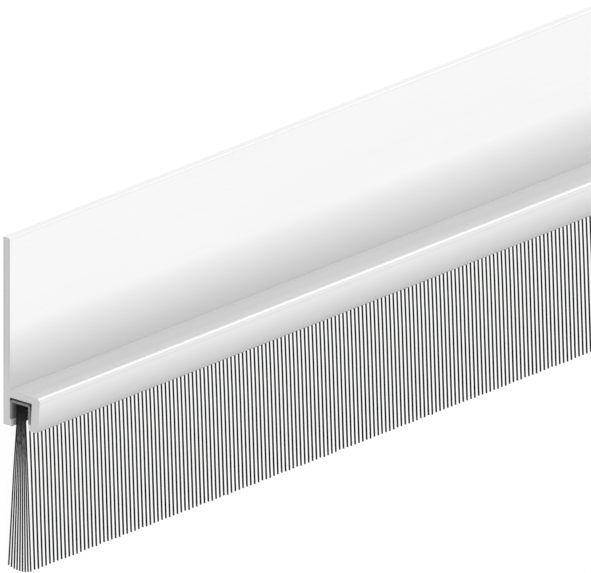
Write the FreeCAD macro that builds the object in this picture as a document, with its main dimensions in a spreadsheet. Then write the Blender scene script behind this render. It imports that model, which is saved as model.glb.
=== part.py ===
import FreeCAD, Part
import os
import Sketcher

# Brush seal strip, stock length, lying on the back of its flange.
# Row frame in millimetres: X along the strip, Y from the bristle tips to the flange's free edge,
# Z up from the back of the flange to the front wall.
# Every section is drawn with the carrier's bottom edge on Y = 0, and each sub-part's Placement then
# moves it so that the origin is below the middle of the whole strip.

# Driving dimensions: lengths in millimetres, the lean in degrees.
SIZES = {
    "strip_length": 914.4,
    "carrier_height": 35.0,
    "flange_thickness": 1.5,
    "flange_nose_radius": 0.5,
    "pocket_height": 4.0,
    "web_thickness": 1.3,
    "front_wall_thickness": 1.8,
    "front_wall_lean": 4.0,
    "shoulder_radius": 0.7,
    "foot_radius": 0.8,
    "lip_height": 1.3,
    "lip_reach": 0.5,
    "lip_radius": 0.55,
    "channel_width": 4.7,
    "channel_height": 3.6,
    "channel_sheet": 0.42,
    "channel_bend_radius": 0.5,
    "channel_side_gap": 0.15,
    "wire_diameter": 1.0,
    "wire_clearance": 0.02,
    "wire_set_back": 0.6,
    "fibre_layer": 0.65,
    "fibre_fold_radius": 0.45,
    "fibre_offset": 0.2,
    "bristle_reach": 26.7,
    "tip_spread": 5.45,
    "tip_set_back": 0.17,
    "tip_crown": 0.5,
}

# How close two points lie when they are the same corner.
POINT_MATCH = 1e-4

doc = FreeCAD.newDocument("brush_seal_strip")
sheet = doc.addObject("Spreadsheet::Sheet", "sizes")
for row, (alias, value) in enumerate(SIZES.items(), start=1):
    sheet.set("A%d" % row, alias)
    sheet.set("B%d" % row, str(value))
    sheet.setAlias("B%d" % row, alias)
doc.recompute()


def size(alias):
    """The expression that reads one driving dimension."""
    return "sizes." + alias


# Levels above the carrier's bottom edge.
LIP_TOP = size("lip_height")
CEILING = "(%s + %s)" % (LIP_TOP, size("pocket_height"))
LEDGE = "(%s + %s)" % (CEILING, size("web_thickness"))
CHANNEL_TOP = "(%s + %s)" % (LIP_TOP, size("channel_height"))
FOLD_TOP = "(%s - %s)" % (CHANNEL_TOP, size("channel_sheet"))
FIBRE_HALF = "(%s / 2 + %s)" % (size("wire_diameter"), size("fibre_layer"))
WIRE_LEVEL = "(%s - %s)" % (FOLD_TOP, FIBRE_HALF)
TIP_CROWN_LEVEL = "(0 - %s)" % size("bristle_reach")
TIP_SIDE_LEVEL = "(%s - %s)" % (size("tip_crown"), size("bristle_reach"))

# Depths in front of the flange's back face.
BACK = size("flange_thickness")
CHANNEL_FRONT = "(%s + %s)" % (BACK, size("channel_width"))
CHANNEL_MIDDLE = "(%s + %s / 2)" % (BACK, size("channel_width"))
FIBRE_MIDDLE = "(%s + %s)" % (CHANNEL_MIDDLE, size("fibre_offset"))
TIP_MIDDLE = "(%s - %s)" % (CHANNEL_MIDDLE, size("tip_set_back"))
TIP_HALF = "(%s / 2)" % size("tip_spread")
LEAN = "tan(%s * 1 deg)" % size("front_wall_lean")


def front_wall_inside(level):
    """Depth of the front wall's inner face: it leans outwards as it rises from the lips."""
    return "(%s + %s + (%s - %s) * %s)" % (CHANNEL_FRONT, size("channel_side_gap"), level, LIP_TOP, LEAN)


def front_wall_outside(level):
    """Depth of the front wall's outer face at one level."""
    return "(%s + %s)" % (front_wall_inside(level), size("front_wall_thickness"))


def origin_plane(body, role):
    """The body's own origin plane with this role."""
    return [feature for feature in body.Origin.OriginFeatures if feature.Role == role][0]


def new_body(label):
    """An empty body, moved so that the strip's middle lies above the origin."""
    body = doc.addObject("PartDesign::Body", label)
    body.Label = label
    body.setExpression("Placement.Base.y", "(%s - %s) / 2" % (size("bristle_reach"), size("carrier_height")))
    return body


def section_sketch(body, name):
    """A sketch across the strip: its first axis runs up the section and its second one to the front."""
    sketch = body.newObject("Sketcher::SketchObject", name)
    sketch.AttachmentSupport = [(origin_plane(body, "YZ_Plane"), "")]
    sketch.MapMode = "FlatFace"
    return sketch


def value_of(expression):
    """The number that an expression gives now, used as a sketch's starting point."""
    return float(sheet.evalExpression(expression))


def hold_point(sketch, geometry, end, name, level, depth):
    """Hold one point of a sketch at a level and a depth that follow the sheet."""
    for kind, expression, tag in (("DistanceX", level, "level"), ("DistanceY", depth, "depth")):
        number = sketch.addConstraint(Sketcher.Constraint(kind, -1, 1, geometry, end, value_of(expression)))
        sketch.renameConstraint(number, "%s_%s" % (name, tag))
        sketch.setExpression("Constraints.%s_%s" % (name, tag), expression)


def point(level, depth):
    """A point of a section sketch."""
    return FreeCAD.Vector(value_of(level), value_of(depth), 0)


def draw_outline(sketch, corners, crowns=None):
    """Draw a closed outline through named corners, each a name, a level and a depth.

    crowns gives, for the corner that an arc leaves, the point that the arc passes through on its way.
    """
    crowns = crowns or {}
    sides = []
    for index, (name, level, depth) in enumerate(corners):
        following = corners[(index + 1) % len(corners)]
        start = point(level, depth)
        finish = point(following[1], following[2])
        if name in crowns:
            side = sketch.addGeometry(Part.Arc(start, point(*crowns[name]), finish), False)
            starts_here = sketch.getPoint(side, 1).distanceToPoint(start) < POINT_MATCH
            ends = (1, 2) if starts_here else (2, 1)
            crown = sketch.addGeometry(Part.Point(point(*crowns[name])), True)
            hold_point(sketch, crown, 1, name + "_crown", *crowns[name])
            sketch.addConstraint(Sketcher.Constraint("PointOnObject", crown, 1, side))
        else:
            side = sketch.addGeometry(Part.LineSegment(start, finish), False)
            ends = (1, 2)
        sides.append((side, ends))
        hold_point(sketch, side, ends[0], name, level, depth)
    for index, (side, ends) in enumerate(sides):
        next_side, next_ends = sides[(index + 1) % len(sides)]
        sketch.addConstraint(Sketcher.Constraint("Coincident", side, ends[1], next_side, next_ends[0]))


def draw_circle(sketch, name, level, depth, diameter):
    """Draw a circle whose middle and diameter follow the sheet."""
    circle = Part.Circle(point(level, depth), FreeCAD.Vector(0, 0, 1), value_of(diameter) / 2)
    rim = sketch.addGeometry(circle, False)
    hold_point(sketch, rim, 3, name, level, depth)
    number = sketch.addConstraint(Sketcher.Constraint("Diameter", rim, value_of(diameter)))
    sketch.renameConstraint(number, name + "_diameter")
    sketch.setExpression("Constraints.%s_diameter" % name, diameter)


def padded(body, sketch, length):
    """Pad a section along the strip, the same distance to both sides of the middle."""
    pad = body.newObject("PartDesign::Pad", sketch.Name + "_pad")
    pad.Profile = sketch
    pad.SideType = "Symmetric"
    pad.setExpression("Length", length)
    sketch.Visibility = False
    doc.recompute()
    return pad


def long_edges(solid, corners):
    """Names of the edges along the strip that pass through these corners of the section."""
    names = []
    for number, edge in enumerate(solid.Shape.Edges, start=1):
        ends = [vertex.Point for vertex in edge.Vertexes]
        along = abs(ends[0].x - ends[-1].x) > POINT_MATCH
        for corner in corners:
            wanted = point(*corner)
            if along and (ends[0] - FreeCAD.Vector(ends[0].x, wanted.x, wanted.y)).Length < POINT_MATCH:
                names.append("Edge%d" % number)
    assert len(names) == len(corners), "one edge for each corner"
    return names


def rounded(body, base, name, radius, corners):
    """Round the edges that run along the strip through these corners."""
    fillet = body.newObject("PartDesign::Fillet", name)
    fillet.Base = (base, long_edges(base, corners))
    fillet.setExpression("Radius", radius)
    doc.recompute()
    return fillet


def make_carrier_profile():
    """Extruded h-section: a flat flange with a pocket at its foot, whose two lips hold the brush."""
    body = new_body("carrier_profile")
    sketch = section_sketch(body, "carrier_section")
    mouth_back = "(%s + %s)" % (BACK, size("lip_reach"))
    mouth_front = "(%s - %s)" % (front_wall_inside(LIP_TOP), size("lip_reach"))
    flange_nose = (size("carrier_height"), BACK)
    shoulder = (LEDGE, front_wall_outside(LEDGE))
    foot = ("0", front_wall_outside("0"))
    lip_nose = ("0", mouth_front)
    draw_outline(sketch, [
        ("back_foot", "0", "0"),
        ("back_top", size("carrier_height"), "0"),
        ("flange_nose",) + flange_nose,
        ("ledge_root", LEDGE, BACK),
        ("shoulder",) + shoulder,
        ("foot",) + foot,
        ("front_lip_nose",) + lip_nose,
        ("front_lip_top", LIP_TOP, mouth_front),
        ("front_lip_root", LIP_TOP, front_wall_inside(LIP_TOP)),
        ("ceiling_front", CEILING, front_wall_inside(CEILING)),
        ("ceiling_back", CEILING, BACK),
        ("back_lip_root", LIP_TOP, BACK),
        ("back_lip_top", LIP_TOP, mouth_back),
        ("back_lip_nose", "0", mouth_back),
    ])
    solid = padded(body, sketch, size("strip_length"))
    solid = rounded(body, solid, "flange_nose_fillet", size("flange_nose_radius"), [flange_nose])
    solid = rounded(body, solid, "shoulder_fillet", size("shoulder_radius"), [shoulder])
    solid = rounded(body, solid, "foot_fillet", size("foot_radius"), [foot])
    rounded(body, solid, "lip_fillet", size("lip_radius"), [lip_nose])
    return body


def make_brush_channel():
    """Folded sheet channel, open downwards, that rests on the carrier's lips against the flange."""
    body = new_body("brush_channel")
    sketch = section_sketch(body, "channel_section")
    inside_back = "(%s + %s)" % (BACK, size("channel_sheet"))
    inside_front = "(%s - %s)" % (CHANNEL_FRONT, size("channel_sheet"))
    outer_bends = [(CHANNEL_TOP, BACK), (CHANNEL_TOP, CHANNEL_FRONT)]
    inner_bends = [(FOLD_TOP, inside_back), (FOLD_TOP, inside_front)]
    draw_outline(sketch, [
        ("back_leg_foot", LIP_TOP, BACK),
        ("back_bend",) + outer_bends[0],
        ("front_bend",) + outer_bends[1],
        ("front_leg_foot", LIP_TOP, CHANNEL_FRONT),
        ("front_leg_inside", LIP_TOP, inside_front),
        ("front_bend_inside",) + inner_bends[1],
        ("back_bend_inside",) + inner_bends[0],
        ("back_leg_inside", LIP_TOP, inside_back),
    ])
    solid = padded(body, sketch, size("strip_length"))
    solid = rounded(body, solid, "outer_bend_fillet", size("channel_bend_radius"), outer_bends)
    inner_radius = "%s - %s" % (size("channel_bend_radius"), size("channel_sheet"))
    rounded(body, solid, "inner_bend_fillet", inner_radius, inner_bends)
    return body


def make_core_wire():
    """Round wire that the fibres are folded over, cut a little short of the strip's ends."""
    body = new_body("core_wire")
    sketch = section_sketch(body, "wire_section")
    draw_circle(sketch, "wire", WIRE_LEVEL, FIBRE_MIDDLE, size("wire_diameter"))
    padded(body, sketch, "%s - 2 * %s" % (size("strip_length"), size("wire_set_back")))
    return body


def make_bristles():
    """The brush as one closed form: a straight root inside the channel and a fan down to crowned tips."""
    body = new_body("bristles")
    sketch = section_sketch(body, "bristle_section")
    root_back = "(%s - %s)" % (FIBRE_MIDDLE, FIBRE_HALF)
    root_front = "(%s + %s)" % (FIBRE_MIDDLE, FIBRE_HALF)
    folds = [(FOLD_TOP, root_back), (FOLD_TOP, root_front)]
    draw_outline(sketch, [
        ("mouth_back", LIP_TOP, root_back),
        ("fold_back",) + folds[0],
        ("fold_front",) + folds[1],
        ("mouth_front", LIP_TOP, root_front),
        ("tip_front", TIP_SIDE_LEVEL, "(%s + %s)" % (TIP_MIDDLE, TIP_HALF)),
        ("tip_back", TIP_SIDE_LEVEL, "(%s - %s)" % (TIP_MIDDLE, TIP_HALF)),
    ], {"tip_front": (TIP_CROWN_LEVEL, TIP_MIDDLE)})
    bore_diameter = "(%s + 2 * %s)" % (size("wire_diameter"), size("wire_clearance"))
    draw_circle(sketch, "wire_bore", WIRE_LEVEL, FIBRE_MIDDLE, bore_diameter)
    solid = padded(body, sketch, size("strip_length"))
    rounded(body, solid, "fold_fillet", size("fibre_fold_radius"), folds)
    return body


sub_parts = [make_carrier_profile(), make_brush_channel(), make_core_wire(), make_bristles()]
doc.recompute()

for item in doc.Objects:
    failed = [state for state in item.State if state in ("Invalid", "Error")]
    assert not failed, "%s did not rebuild" % item.Label
for sub_part in sub_parts:
    shape = sub_part.Shape
    assert not shape.isNull() and shape.isValid(), "%s has no valid shape" % sub_part.Label
    assert len(shape.Solids) == 1, "%s is not one solid" % sub_part.Label

os.makedirs("parts", exist_ok=True)
for sub_part in sub_parts:
    sub_part.Shape.exportStep("parts/%s.step" % sub_part.Label)
    box = sub_part.Shape.BoundBox
    print("%s: X %.2f to %.2f, Y %.2f to %.2f, Z %.2f to %.2f, volume %.0f cubic mm" % (
        sub_part.Label, box.XMin, box.XMax, box.YMin, box.YMax, box.ZMin, box.ZMax, sub_part.Shape.Volume))
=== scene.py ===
import math
import random

import bmesh
import bpy
from mathutils import Matrix, Vector


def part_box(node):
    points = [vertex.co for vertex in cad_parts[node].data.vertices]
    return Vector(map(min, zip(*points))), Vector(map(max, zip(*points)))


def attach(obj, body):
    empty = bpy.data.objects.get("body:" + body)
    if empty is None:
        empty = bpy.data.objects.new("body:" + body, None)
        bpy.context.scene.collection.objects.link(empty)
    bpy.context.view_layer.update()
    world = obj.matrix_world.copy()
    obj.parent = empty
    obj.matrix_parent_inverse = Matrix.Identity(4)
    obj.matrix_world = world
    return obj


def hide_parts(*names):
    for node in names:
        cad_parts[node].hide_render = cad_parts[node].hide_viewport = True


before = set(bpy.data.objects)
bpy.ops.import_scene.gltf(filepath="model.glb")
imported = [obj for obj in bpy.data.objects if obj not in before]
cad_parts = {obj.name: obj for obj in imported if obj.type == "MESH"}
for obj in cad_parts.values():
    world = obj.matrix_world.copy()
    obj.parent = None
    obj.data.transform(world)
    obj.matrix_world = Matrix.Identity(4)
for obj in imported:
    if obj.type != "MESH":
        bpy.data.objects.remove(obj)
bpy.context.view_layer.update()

# Lengths are in metres, but the materials' levels, depths and grains are in millimetres. X runs along
# the strip, Y up its section from the bristle tips to the flange's free edge, and Z from the flange's
# back to the front of the pocket. The strip lies on its back.
MM = 0.001

# Levels and depths that the frame gives.
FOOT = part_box("carrier_profile")[0].y
channel_low, channel_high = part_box("brush_channel")
wire_low, wire_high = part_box("core_wire")
brush_low, brush_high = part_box("bristles")
STRIP_START = brush_low.x
STRIP_END = brush_high.x
WIRE_LEVEL = (wire_low.y + wire_high.y) / 2
WIRE_RADIUS = (wire_high.z - wire_low.z) / 2

# The fibres. Most are drawn thicker than real ones, so that their lines are as dark as the photograph's.
# END_DIAMETER is for those at the near end and in the planes of both ends. The ones in those planes get
# thicker towards their tips by END_FLARE, a share.
FIBRE_DIAMETER = 0.305 * MM
END_DIAMETER = 0.24 * MM
END_FLARE = 0.2
FIBRE_SIDES = 6
FIRST_PLACE = STRIP_START + FIBRE_DIAMETER / 2
LAST_PLACE = STRIP_END - FIBRE_DIAMETER / 2

# The brush: rows of fibres, which stand straight down to the fan's level and then spread to their tips.
FIBRE_ROWS = 17
FIBRE_PITCH = 1.0286 * MM
ROOT_MIDDLE = (wire_low.z + wire_high.z) / 2
ROOT_WIDTH = 2.34 * MM
FAN_LEVEL = FOOT + 1.0 * MM
FOLD_STEPS = 2

# The tips: the outer rows end higher than the middle ones by the crown, and the margin keeps all inside
# the solid's box.
TIP_MARGIN = 0.02 * MM
TIP_CROWN = 0.5 * MM

# Scatter: how far roots and tips stand from their places, and how much the fibres differ in length.
RANDOM_SEED = 7
FIBRE_SCATTER = 0.35 * MM
TIP_SCATTER = 0.08 * MM

# A fibre bows outwards by a share of its spread, and has a ring at a share of its way down the fan.
BOW = 0.05
BOW_AT = 0.35

# The lean of the rows along the strip fades out over this length before the far end.
END_REACH = 9 * MM

# The camera: a parallel view at the photograph's angle. The pixel is that of the near end's back foot.
PIXELS_PER_MM = 5.7
FRAME_WIDTH = 591
FRAME_HEIGHT = 573
CORNER_PIXEL = (3.4, 423.8)
CAMERA_DISTANCE = 2.0
CAMERA_CLIP = (0.01, 10)
VIEW_AZIMUTH = math.radians(48.8)
VIEW_ELEVATION = math.radians(20.07)

# The soft studio light: a wide pale sky, brighter on the bristles' side, and one soft lamp.
SKY_LEVEL = 0.92
SKY_SLOPE = -0.32
SKY_MOST = 1.02
LAMP_TOWARD = (0.707, 0.65, 0.27)
LAMP_DISTANCE = 1.5
LAMP_SIZE = 0.5
LAMP_RADIANCE = 1.5
LIT_PLACE = 60 * MM

# The floor.
FLOOR_SIZE = 40
FLOOR_TONE = 0.06
FLOOR_GLOW = 0.97

# What tells the carrier's faces apart. Levels are above its bottom edge, and depths in front of the
# flange's back. The flange has less depth than FLANGE_DEPTH and the front wall's face more than
# WALL_DEPTH. The ledge is below LEDGE_LEVEL and the lips are below LIP_LEVEL. The painted shade on the
# rims of the sawn flange fades in over the levels of RIM_SHADE_FADE.
FLANGE_DEPTH = 2.0
WALL_DEPTH = 7.4
LEDGE_LEVEL = 9.0
LIP_LEVEL = 1.4
RIM_SHADE_FADE = (8, 14)

# How much of a face's direction has to point one way for the face to count as facing that way.
FACING = 0.7

# The range that a noise usually keeps to, and the strength of every bump.
NOISE_RANGE = (0.3, 0.7)
BUMP_STRENGTH = 0.5

# Painted light and shade against the level: shade on the flange towards its corner, shade down the
# front wall with a painted highlight below its shoulder, light and shade on the flange's nose, and
# light on the fibres that face the strip's ends.
FLANGE_PAINTED_SHADE = (
    (6.5, 0.71), (7.4, 0.765), (8.6, 0.774), (9.8, 0.776), (11.5, 0.804), (12.5, 0.824),
    (13.4, 0.845), (17.1, 0.967), (18.1, 1.0))
NOSE_PAINTED_LIGHT_AND_SHADE = ((34.45, 1.0), (34.6, 1.03), (34.7, 1.05), (34.82, 1.01), (34.92, 0.965), (35.0, 0.975))
WALL_PAINTED_SHADE_AND_HIGHLIGHT = (
    (0.2, 0.74), (0.38, 0.7), (0.57, 0.615), (0.75, 0.6), (0.95, 0.62), (1.4, 0.67),
    (5.0, 0.866), (5.4, 0.866), (5.63, 0.815), (5.85, 0.885), (6.2, 1.0))
END_FIBRE_PAINTED_LIGHT = (
    (-9, 0.05), (-7, 0.4), (-4.5, 1.0), (-3, 1.35), (-1.3, 1.0), (0.2, 0.5), (1.7, 0.17), (3.2, 0.04))

# Painted light and shade against the depth: light on the ledge by the crease and a painted highlight
# towards its shoulder, and shade along the rims of the sawn flange.
LEDGE_PAINTED_LIGHT = (
    (1.6, 1.12), (2.3, 1.1), (2.9, 1.07), (3.7, 1.05), (4.5, 1.03), (5.1, 1.013), (5.7, 1.018),
    (6.0, 1.03), (6.4, 1.053))
RIM_PAINTED_SHADE = ((0.1, 0.9), (0.35, 0.9), (0.5, 1.0), (0.9, 1.0), (1.1, 0.91), (1.4, 0.91))

# Aluminium. A grain is how fine a noise is along the strip, up its section and to the front, and a pair
# of tones or roughnesses is what the noise's low and high ends give.
DIE_LINE_GRAIN = (0.02, 5, 5)
DIE_LINE_TONES = (0.985, 1.01)
DIE_LINE_DEPTH = 0.004 * MM
BARE_TONE = 0.95
CLOUD_GRAIN = (0.03, 0.12, 0.12)
CLOUD_TONES = (0.992, 1.005)
SATIN_ROUGHNESS = (0.39, 0.45)
SAW_GRAIN = (1, 1.2, 9)
SAWN_TONES = (0.63, 0.69)
SAWN_ROUGHNESS = 0.6
MATT_SHARE = 0.9

# Zinc-coated steel. The margin is left off each side of what counts as inside the channel, where the zinc
# is matt and darker, a painted shade.
SPANGLE_SCALE = 0.9
SPANGLE_TONES = (0.72, 0.84)
SPANGLE_ROUGHNESS = (0.34, 0.5)
ZINC_GRAIN = (3, 3, 3)
ZINC_TONES = (0.95, 1.04)
ZINC_DEPTH = 0.01 * MM
SHEARED_TONES = (0.24, 0.30)
INSIDE_PAINTED_SHADE = 0.42
INSIDE_MARGIN = 0.3

# Black plastic. Over the levels of CHANNEL_SHADE_FADE a field fibre's tone falls to CHANNEL_SHADE_SHARE of
# itself, a painted shade inside the channel.
FIELD_TONES = (0.004, 0.014)
CHANNEL_SHADE_FADE = (0, 1.5)
CHANNEL_SHADE_SHARE = 0.4
# The end fibres' grey is painted light, and their streaks are painted highlights.
END_PAINTED_LIGHT_TONES = (0.12, 0.16)
HIGHLIGHT_STREAK_GRAIN = (5, 1.2, 5)
HIGHLIGHT_STREAK_RANGE = (0.35, 0.65)
HIGHLIGHT_STREAK_TONES = (0.45, 1.55)
DRAW_LINE_GRAIN = (12, 0.4, 12)
FIBRE_ROUGHNESS = (0.38, 0.55)
FIBRE_SPECULAR = 0.2


class NodeMaker:
    """Short ways to add nodes to a material's or the world's node tree."""

    def __init__(self, tree):
        self.tree = tree

    def add(self, kind, **settings):
        node = self.tree.nodes.new(kind)
        for name, value in settings.items():
            setattr(node, name, value)
        return node

    def feed(self, socket, value):
        """Link a socket to a node's output, or set it to a number or colour."""
        if isinstance(value, bpy.types.NodeSocket):
            self.tree.links.new(value, socket)
        else:
            socket.default_value = value

    def math(self, operation, *values):
        node = self.add("ShaderNodeMath", operation=operation)
        for socket, value in zip(node.inputs, values):
            self.feed(socket, value)
        return node.outputs[0]

    def times(self, first, *others):
        for other in others:
            first = self.math("MULTIPLY", first, other)
        return first

    def vector_math(self, operation, vector, value, socket):
        node = self.add("ShaderNodeVectorMath", operation=operation)
        self.feed(node.inputs[0], vector)
        self.feed(node.inputs[socket], value)
        return node.outputs[0]

    def split(self, vector):
        node = self.add("ShaderNodeSeparateXYZ")
        self.feed(node.inputs[0], vector)
        return node.outputs[0], node.outputs[1], node.outputs[2]

    def place(self):
        """The surface point in millimetres."""
        coordinates = self.add("ShaderNodeTexCoord")
        return self.vector_math("SCALE", coordinates.outputs["Object"], 1 / MM, "Scale")

    def section(self, point):
        """A point's level above the carrier's bottom edge and its depth in front of the flange's back."""
        up, front = self.split(point)[1:]
        return self.math("SUBTRACT", up, FOOT / MM), front

    def normal(self):
        """The surface's own direction, before any bump."""
        return self.split(self.add("ShaderNodeNewGeometry").outputs["True Normal"])

    def facing(self, direction):
        """1 on the faces that look along one direction: 0 is X, 1 is Y and 2 is Z."""
        return self.math("GREATER_THAN", self.normal()[direction], FACING)

    def grain(self, point, fineness, detail):
        """Noise whose grain is as fine along each direction as that direction's number."""
        node = self.add("ShaderNodeTexNoise")
        self.feed(node.inputs["Vector"], self.vector_math("MULTIPLY", point, fineness, 1))
        self.feed(node.inputs["Scale"], 1.0)
        self.feed(node.inputs["Detail"], detail)
        return node.outputs[0]

    def between(self, value, low, high, out_low=0.0, out_high=1.0):
        """A value from one range mapped to another, held at both ends."""
        node = self.add("ShaderNodeMapRange")
        for socket, number in zip(node.inputs, (value, low, high, out_low, out_high)):
            self.feed(socket, number)
        return node.outputs[0]

    def spread(self, noise, out_low, out_high):
        """The range that a noise usually keeps to, mapped to another."""
        return self.between(noise, *NOISE_RANGE, out_low, out_high)

    def curve(self, value, stops):
        """A grey that runs through stops, each a value and its grey, and is held at both ends."""
        low, high = stops[0][0], stops[-1][0]
        node = self.add("ShaderNodeValToRGB")
        elements = node.color_ramp.elements
        for at, _ in stops[1:-1]:
            elements.new((at - low) / (high - low))
        for element, (_, grey) in zip(elements, stops):
            element.color = (grey, grey, grey, 1)
        self.feed(node.inputs[0], self.between(value, low, high))
        return node.outputs[0]

    def mix(self, share, first, second):
        """first where share is 0 and second where it is 1, for plain numbers."""
        node = self.add("ShaderNodeMix", data_type="FLOAT")
        self.feed(node.inputs[0], share)
        self.feed(node.inputs[2], first)
        self.feed(node.inputs[3], second)
        return node.outputs[0]

    def bump(self, height, distance):
        node = self.add("ShaderNodeBump")
        self.feed(node.inputs["Height"], height)
        self.feed(node.inputs["Distance"], distance)
        self.feed(node.inputs["Strength"], BUMP_STRENGTH)
        return node.outputs[0]


def camera_axes():
    """Right, up and backward of the view. The photograph looks at the strip standing on its bristles."""
    side, along = math.sin(VIEW_AZIMUTH), math.cos(VIEW_AZIMUTH)
    rise, drop = math.cos(VIEW_ELEVATION), math.sin(VIEW_ELEVATION)
    right = Vector((along, 0, side))
    up = Vector((side * drop, rise, -along * drop))
    return right, up, right.cross(up)


def turned(right, up, backward):
    """The turn that takes X, Y and Z to these directions."""
    return Matrix((right, up, backward)).transposed().to_4x4()


def make_camera():
    """A parallel camera that puts the near end's back foot on its place in the picture."""
    right, up, backward = camera_axes()
    data = bpy.data.cameras.new("camera")
    data.type = "ORTHO"
    data.ortho_scale = FRAME_WIDTH / PIXELS_PER_MM * MM
    data.clip_start, data.clip_end = CAMERA_CLIP
    camera = bpy.data.objects.new("camera", data)
    bpy.context.scene.collection.objects.link(camera)
    corner = Vector((STRIP_START, FOOT, 0))
    aside = (FRAME_WIDTH / 2 - CORNER_PIXEL[0]) / PIXELS_PER_MM * MM
    above = (CORNER_PIXEL[1] - FRAME_HEIGHT / 2) / PIXELS_PER_MM * MM
    place = corner + right * aside + up * above + backward * CAMERA_DISTANCE
    camera.matrix_world = Matrix.Translation(place) @ turned(right, up, backward)
    bpy.context.scene.camera = camera


def make_sky():
    """A pale sky all round that gets brighter towards the bristles' side."""
    world = bpy.data.worlds.new("studio")
    world.use_nodes = True
    maker = NodeMaker(world.node_tree)
    direction = maker.add("ShaderNodeTexCoord").outputs["Generated"]
    toward_flange = maker.split(direction)[1]
    level = maker.math("MULTIPLY_ADD", toward_flange, SKY_SLOPE, SKY_LEVEL)
    level = maker.math("MINIMUM", level, SKY_MOST)
    background = world.node_tree.nodes["Background"]
    maker.feed(background.inputs["Strength"], level)
    maker.feed(background.inputs["Color"], (1, 1, 1, 1))
    bpy.context.scene.world = world


def make_lamp():
    """A soft square lamp that shines from afar at the stretch that the photograph shows."""
    data = bpy.data.lights.new("rim_lamp", "AREA")
    data.shape = "SQUARE"
    data.size = LAMP_SIZE
    data.energy = LAMP_RADIANCE * math.pi * LAMP_SIZE ** 2
    lamp = bpy.data.objects.new("rim_lamp", data)
    bpy.context.scene.collection.objects.link(lamp)
    target = Vector((STRIP_START + LIT_PLACE, 0, 0))
    away = Vector(LAMP_TOWARD).normalized()
    turn = away.to_track_quat("Z", "Y").to_matrix().to_4x4()
    lamp.matrix_world = Matrix.Translation(target + away * LAMP_DISTANCE) @ turn


def new_material(name):
    """A material with its node maker and its shader."""
    material = bpy.data.materials.new(name)
    material.use_nodes = True
    maker = NodeMaker(material.node_tree)
    return material, maker, material.node_tree.nodes["Principled BSDF"]


def add_white_glow(maker, lit, strength):
    """The lit shader plus a plain glow that only the camera, mirrors and glass see."""
    rays = maker.add("ShaderNodeLightPath")
    seen = maker.math("MAXIMUM", rays.outputs["Is Camera Ray"], rays.outputs["Is Glossy Ray"])
    seen = maker.math("MAXIMUM", seen, rays.outputs["Is Transmission Ray"])
    glow = maker.add("ShaderNodeEmission")
    maker.feed(glow.inputs["Strength"], maker.times(seen, strength))
    total = maker.add("ShaderNodeAddShader")
    maker.feed(total.inputs[0], lit)
    maker.feed(total.inputs[1], glow.outputs[0])
    return total.outputs[0]


def make_floor():
    """A pale level floor that reads as white and keeps a light shadow of the strip."""
    material, maker, shader = new_material("floor")
    shader.inputs["Base Color"].default_value = (FLOOR_TONE, FLOOR_TONE, FLOOR_TONE, 1)
    shader.inputs["Roughness"].default_value = 1
    shader.inputs["Specular IOR Level"].default_value = 0
    surface = add_white_glow(maker, shader.outputs[0], FLOOR_GLOW)
    maker.feed(material.node_tree.nodes["Material Output"].inputs[0], surface)
    bpy.ops.mesh.primitive_plane_add(size=FLOOR_SIZE, location=(0, 0, 0))
    floor = bpy.context.object
    floor.name = "floor"
    floor.data.materials.append(material)


def sawn_ends(maker):
    """1 on the faces that were cut across the strip, and 0 elsewhere."""
    return maker.math("GREATER_THAN", maker.math("ABSOLUTE", maker.normal()[0]), FACING)


def inside(maker, front):
    """1 at the depths between the channel's legs or the carrier's lips, where the metal is matt."""
    middle = (channel_low.z + channel_high.z) / 2 / MM
    half = (channel_high.z - channel_low.z) / 2 / MM - INSIDE_MARGIN
    return maker.math("LESS_THAN", maker.math("ABSOLUTE", maker.math("SUBTRACT", front, middle)), half)


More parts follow.
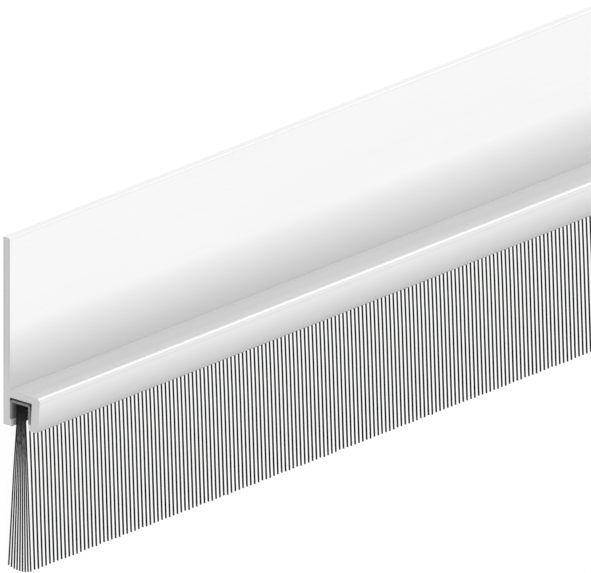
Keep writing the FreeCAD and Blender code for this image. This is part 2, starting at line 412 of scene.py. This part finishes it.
def satin_aluminium():
    """Etched extrusion: fine die lines along it and sawn ends, with painted shade in its corner, down its
    front wall and on the sawn rims, and painted light and highlights on the ledge, the wall's shoulder, the
    nose and in the mouth.
    """
    material, maker, shader = new_material("satin_aluminium")
    point = maker.place()
    level, front = maker.section(point)
    sawn = sawn_ends(maker)
    on_flange = maker.times(maker.facing(2), maker.math("LESS_THAN", front, FLANGE_DEPTH))
    on_ledge = maker.times(maker.facing(1), maker.math("LESS_THAN", level, LEDGE_LEVEL))
    on_wall = maker.math("GREATER_THAN", front, WALL_DEPTH)
    in_mouth = maker.times(inside(maker, front), maker.math("LESS_THAN", level, LIP_LEVEL))
    lines = maker.grain(point, DIE_LINE_GRAIN, 3.0)
    clouds = maker.grain(point, CLOUD_GRAIN, 2.0)
    saw_marks = maker.grain(point, SAW_GRAIN, 3.0)

    # Painted light on the ledge: lighter by the crease, with a painted highlight towards the shoulder.
    tone = maker.mix(on_ledge, 1.0, maker.curve(front, LEDGE_PAINTED_LIGHT))
    # Painted shade: the flange darkens towards its corner with the ledge.
    tone = maker.mix(on_flange, tone, maker.curve(level, FLANGE_PAINTED_SHADE))
    # Painted shade and highlight: the front wall darkens towards its foot, with a painted dark line and
    # highlight below the shoulder.
    tone = maker.mix(on_wall, tone, maker.curve(level, WALL_PAINTED_SHADE_AND_HIGHLIGHT))
    tone = maker.times(tone, maker.spread(lines, *DIE_LINE_TONES), maker.spread(clouds, *CLOUD_TONES))
    # Painted light and shade along the flange's rounded free edge, evening out its reflections.
    tone = maker.times(tone, maker.curve(level, NOSE_PAINTED_LIGHT_AND_SHADE))
    # In the mouth the base is full white: painted light in the shaded recess between the lips.
    tone = maker.mix(in_mouth, maker.times(tone, BARE_TONE), 1.0)
    tone = maker.math("MINIMUM", tone, 1.0)
    # Painted shade along the rims of the sawn flange's end face.
    rim_shade = maker.mix(maker.between(level, *RIM_SHADE_FADE), 1.0, maker.curve(front, RIM_PAINTED_SHADE))
    sawn_tone = maker.times(maker.spread(saw_marks, *SAWN_TONES), rim_shade)

    satin = maker.spread(lines, *SATIN_ROUGHNESS)
    relief = maker.mix(sawn, lines, saw_marks)
    maker.feed(shader.inputs["Base Color"], maker.mix(sawn, tone, sawn_tone))
    maker.feed(shader.inputs["Roughness"], maker.mix(sawn, satin, SAWN_ROUGHNESS))
    maker.feed(shader.inputs["Metallic"], maker.math("SUBTRACT", 1, maker.times(in_mouth, MATT_SHARE)))
    maker.feed(shader.inputs["Normal"], maker.bump(relief, DIE_LINE_DEPTH))
    return material


def galvanised_steel():
    """Zinc-coated sheet and wire: soft spangle on the faces, painted shade inside the channel and plain
    sheared ends.
    """
    material, maker, shader = new_material("galvanised_steel")
    point = maker.place()
    front = maker.section(point)[1]
    sawn = sawn_ends(maker)
    in_channel = inside(maker, front)
    spangle = maker.add("ShaderNodeTexVoronoi", feature="F1")
    maker.feed(spangle.inputs["Vector"], point)
    maker.feed(spangle.inputs["Scale"], SPANGLE_SCALE)
    flake = maker.split(spangle.outputs["Color"])[0]
    grain = maker.grain(point, ZINC_GRAIN, 4.0)

    zinc = maker.times(maker.between(flake, 0, 1, *SPANGLE_TONES), maker.spread(grain, *ZINC_TONES))
    # Painted shade: the zinc is darker inside the channel.
    zinc = maker.times(zinc, maker.mix(in_channel, 1.0, INSIDE_PAINTED_SHADE))
    bright = maker.between(flake, 0, 1, *SPANGLE_ROUGHNESS)
    matt = maker.times(in_channel, maker.math("SUBTRACT", 1, sawn))
    maker.feed(shader.inputs["Base Color"], maker.mix(sawn, zinc, maker.spread(grain, *SHEARED_TONES)))
    maker.feed(shader.inputs["Roughness"], maker.mix(sawn, bright, SAWN_ROUGHNESS))
    maker.feed(shader.inputs["Metallic"], maker.math("SUBTRACT", 1, maker.times(matt, MATT_SHARE)))
    maker.feed(shader.inputs["Normal"], maker.bump(grain, ZINC_DEPTH))
    return material


def black_fibre():
    """Black plastic monofilament: each fibre has a tone of its own, and has painted shade inside the
    channel.

    The fibres that face the strip's ends have tones above 1, and are painted greyer, as if lit from the
    open ends, with streaks of painted highlight.
    """
    material, maker, shader = new_material("black_fibre")
    point = maker.place()
    level = maker.section(point)[0]
    own = maker.add("ShaderNodeAttribute", attribute_name="tone").outputs["Fac"]
    # Painted shade: field fibres darken inside the channel.
    channel_shade = maker.between(level, *CHANNEL_SHADE_FADE, 1, CHANNEL_SHADE_SHARE)
    in_field = maker.times(maker.between(own, 0, 1, *FIELD_TONES), channel_shade)
    # The fibres facing the ends are painted grey, as if lit from the open ends, with streaks of painted
    # highlight.
    highlight_streaks = maker.between(maker.grain(point, HIGHLIGHT_STREAK_GRAIN, 0.0), *HIGHLIGHT_STREAK_RANGE, *HIGHLIGHT_STREAK_TONES)
    end_painted_light = maker.times(maker.between(own, 1, 2, *END_PAINTED_LIGHT_TONES), maker.curve(level, END_FIBRE_PAINTED_LIGHT), highlight_streaks)
    faces_end = maker.math("GREATER_THAN", own, 1.0)
    draw_lines = maker.grain(point, DRAW_LINE_GRAIN, 2.0)
    maker.feed(shader.inputs["Base Color"], maker.mix(faces_end, in_field, end_painted_light))
    maker.feed(shader.inputs["Roughness"], maker.spread(draw_lines, *FIBRE_ROUGHNESS))
    shader.inputs["Specular IOR Level"].default_value = FIBRE_SPECULAR
    return material


def row_depths(row):
    """Depths of one row's roots and tips: row 0 is the front one."""
    across = 0.5 - row / (FIBRE_ROWS - 1)
    root = ROOT_MIDDLE + across * (ROOT_WIDTH - FIBRE_DIAMETER)
    tip = (brush_low.z + brush_high.z) / 2 + across * (brush_high.z - brush_low.z - FIBRE_DIAMETER)
    return root, tip


def behind(row, front_row):
    """How much further along a row's roots and tips stand than those of a row that hides it.

    Fibres in the plane of the view's direction and a front fibre leave the gaps between front fibres open.
    """
    root, tip = row_depths(row)
    front_root, front_tip = row_depths(front_row)
    front_line = Vector((0, brush_low.y - FAN_LEVEL, front_tip - front_root))
    across = camera_axes()[2].cross(front_line)
    slope = across.z / across.x
    return slope * (front_root - root), slope * (front_tip - tip)


def slice_places(row):
    """Where a row's fibres stand: each a root's place along the strip, its tip's lean and its thickness.

    Every row has a fibre in the far end's plane, and every second row one in the near end's. Further
    ones hide behind those of the near end. The field starts with a thin fibre in each row but the front.
    """
    places = [(LAST_PLACE, 0.0, END_DIAMETER)]
    if row % 2 == 0:
        places.append((FIRST_PLACE, 0.0, END_DIAMETER))
    for front_row in range(2, row, 2):
        root, tip = behind(row, front_row)
        places.append((FIRST_PLACE + root, tip - root, END_DIAMETER))
    root, tip = behind(row, 0)
    lean = tip - root
    along = FIRST_PLACE + root
    if row > 0:
        places.append((along, lean, END_DIAMETER))
    along += FIBRE_PITCH
    while along < LAST_PLACE:
        places.append((along, lean * min(1.0, (LAST_PLACE - along) / END_REACH), FIBRE_DIAMETER))
        along += FIBRE_PITCH
    return places


def in_end_plane(along):
    """Whether a fibre stands in the plane of one of the strip's ends."""
    return along in (FIRST_PLACE, LAST_PLACE)


def top_of_fibre(root_along, root):
    """The part in the channel: over the wire in the outer rows, and up to it in the middle ones."""
    aside = root - ROOT_MIDDLE
    past_wire = root_along < wire_low.x or root_along > wire_high.x
    if past_wire:
        return [Vector((root_along, brush_high.y - FIBRE_DIAMETER / 2, root))]
    clear = WIRE_RADIUS + FIBRE_DIAMETER / 2
    if abs(aside) < clear:
        below_wire = WIRE_LEVEL - math.sqrt(clear ** 2 - aside ** 2)
        return [Vector((root_along, below_wire, root))]
    fold = []
    for step in range(FOLD_STEPS + 1):
        turn = math.pi / 2 * step / FOLD_STEPS
        level = WIRE_LEVEL + abs(aside) * math.cos(turn)
        fold.append(Vector((root_along, level, ROOT_MIDDLE + aside * math.sin(turn))))
    return fold


def scattered(along, depth, low, high, share):
    """Move a point towards the view or away from it, but not past the brush's sides and ends.

    A fibre that moves this way breaks up the rows without closing the gaps between the front fibres.
    """
    toward_along, toward_depth = -math.sin(VIEW_AZIMUTH), math.cos(VIEW_AZIMUTH)
    inset = FIBRE_DIAMETER / 2
    to_front = (high - inset - depth) / toward_depth
    to_back = (low + inset - depth) / toward_depth
    to_start = (STRIP_START + inset - along) / toward_along
    to_end = (STRIP_END - inset - along) / toward_along
    nearest = min(FIBRE_SCATTER, to_front, to_start)
    furthest = max(-FIBRE_SCATTER, to_back, to_end)
    move = furthest + (nearest - furthest) * share
    return along + toward_along * move, depth + toward_depth * move


def fibre_path(row, root_along, lean, chance):
    """The line of one fibre, from its top down to a tip that stands further along by its lean."""
    root, tip = row_depths(row)
    root_share, tip_share, length_share = chance.random(), chance.random(), chance.random()
    off_centre = (2 * row / (FIBRE_ROWS - 1) - 1) ** 2
    tip_level = brush_low.y + TIP_MARGIN + TIP_CROWN * off_centre + TIP_SCATTER * length_share
    tip_along = root_along + lean
    if not in_end_plane(root_along):
        half = ROOT_WIDTH / 2
        root_along, root = scattered(root_along, root, ROOT_MIDDLE - half, ROOT_MIDDLE + half, root_share)
        tip_along, tip = scattered(tip_along, tip, brush_low.z, brush_high.z, tip_share)
    path = top_of_fibre(root_along, root)
    path.append(Vector((root_along, FAN_LEVEL, root)))
    for fall in (BOW_AT, 1.0):
        spread = fall + BOW * math.sin(math.pi * fall)
        level = FAN_LEVEL + (tip_level - FAN_LEVEL) * fall
        along = root_along + (tip_along - root_along) * spread
        path.append(Vector((along, level, root + (tip - root) * spread)))
    return path


def add_fibre(mesh, path, tone, thickness, flare):
    """One round fibre with closed ends: its rings lie across its line, wider at the tip by a share."""
    tones = mesh.verts.layers.float["tone"]
    rings = []
    for index, place in enumerate(path):
        fall = max(0.0, (FAN_LEVEL - place.y) / (FAN_LEVEL - brush_low.y))
        radius = thickness / 2 * (1 + flare * fall ** 2)
        before = path[max(index - 1, 0)]
        after = path[min(index + 1, len(path) - 1)]
        line = (after - before).normalized()
        first = Vector((math.cos(VIEW_AZIMUTH), 0, math.sin(VIEW_AZIMUTH)))
        first = (first - line * first.dot(line)).normalized()
        second = line.cross(first)
        ring = []
        for side in range(FIBRE_SIDES):
            angle = math.tau * side / FIBRE_SIDES
            corner = mesh.verts.new(place + (first * math.cos(angle) + second * math.sin(angle)) * radius)
            corner[tones] = tone
            ring.append(corner)
        rings.append(ring)
    for upper, lower in zip(rings, rings[1:]):
        for side in range(FIBRE_SIDES):
            other = (side + 1) % FIBRE_SIDES
            face = mesh.faces.new((upper[side], upper[other], lower[other], lower[side]))
            face.smooth = True
    mesh.faces.new(list(reversed(rings[0])))
    mesh.faces.new(rings[-1])


def row_mesh(name, row, chance):
    """All fibres of one row. Those in the ends' planes are painted grey, as if lit from the open ends,
    apart from the darker outermost ones.
    """
    mesh = bmesh.new()
    mesh.verts.layers.float.new("tone")
    for along, lean, thickness in slice_places(row):
        tone = chance.random()
        flare = 0.0
        if in_end_plane(along):
            flare = END_FLARE
            if 0 < row < FIBRE_ROWS - 1:
                tone += 1
        add_fibre(mesh, fibre_path(row, along, lean, chance), tone, thickness, flare)
    data = bpy.data.meshes.new(name)
    mesh.to_mesh(data)
    mesh.free()
    return data


def make_fibres(material):
    """The rows of fibres, in one piece for each row."""
    chance = random.Random(RANDOM_SEED)
    for row in range(FIBRE_ROWS):
        data = row_mesh("bristle_row_%d" % (row + 1), row, chance)
        data.materials.append(material)
        piece = bpy.data.objects.new(data.name, data)
        bpy.context.scene.collection.objects.link(piece)
        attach(piece, "root")
        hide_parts("bristles")


def finish_metal():
    """Give the solids that stay their materials."""
    steel = galvanised_steel()
    metals = {"carrier_profile": satin_aluminium(), "brush_channel": steel, "core_wire": steel}
    for node, material in metals.items():
        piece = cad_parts[node]
        piece.data.materials.clear()
        piece.data.materials.append(material)


make_camera()
make_floor()
make_sky()
make_lamp()
bpy.context.scene.view_settings.view_transform = "Standard"

finish_metal()
make_fibres(black_fibre())
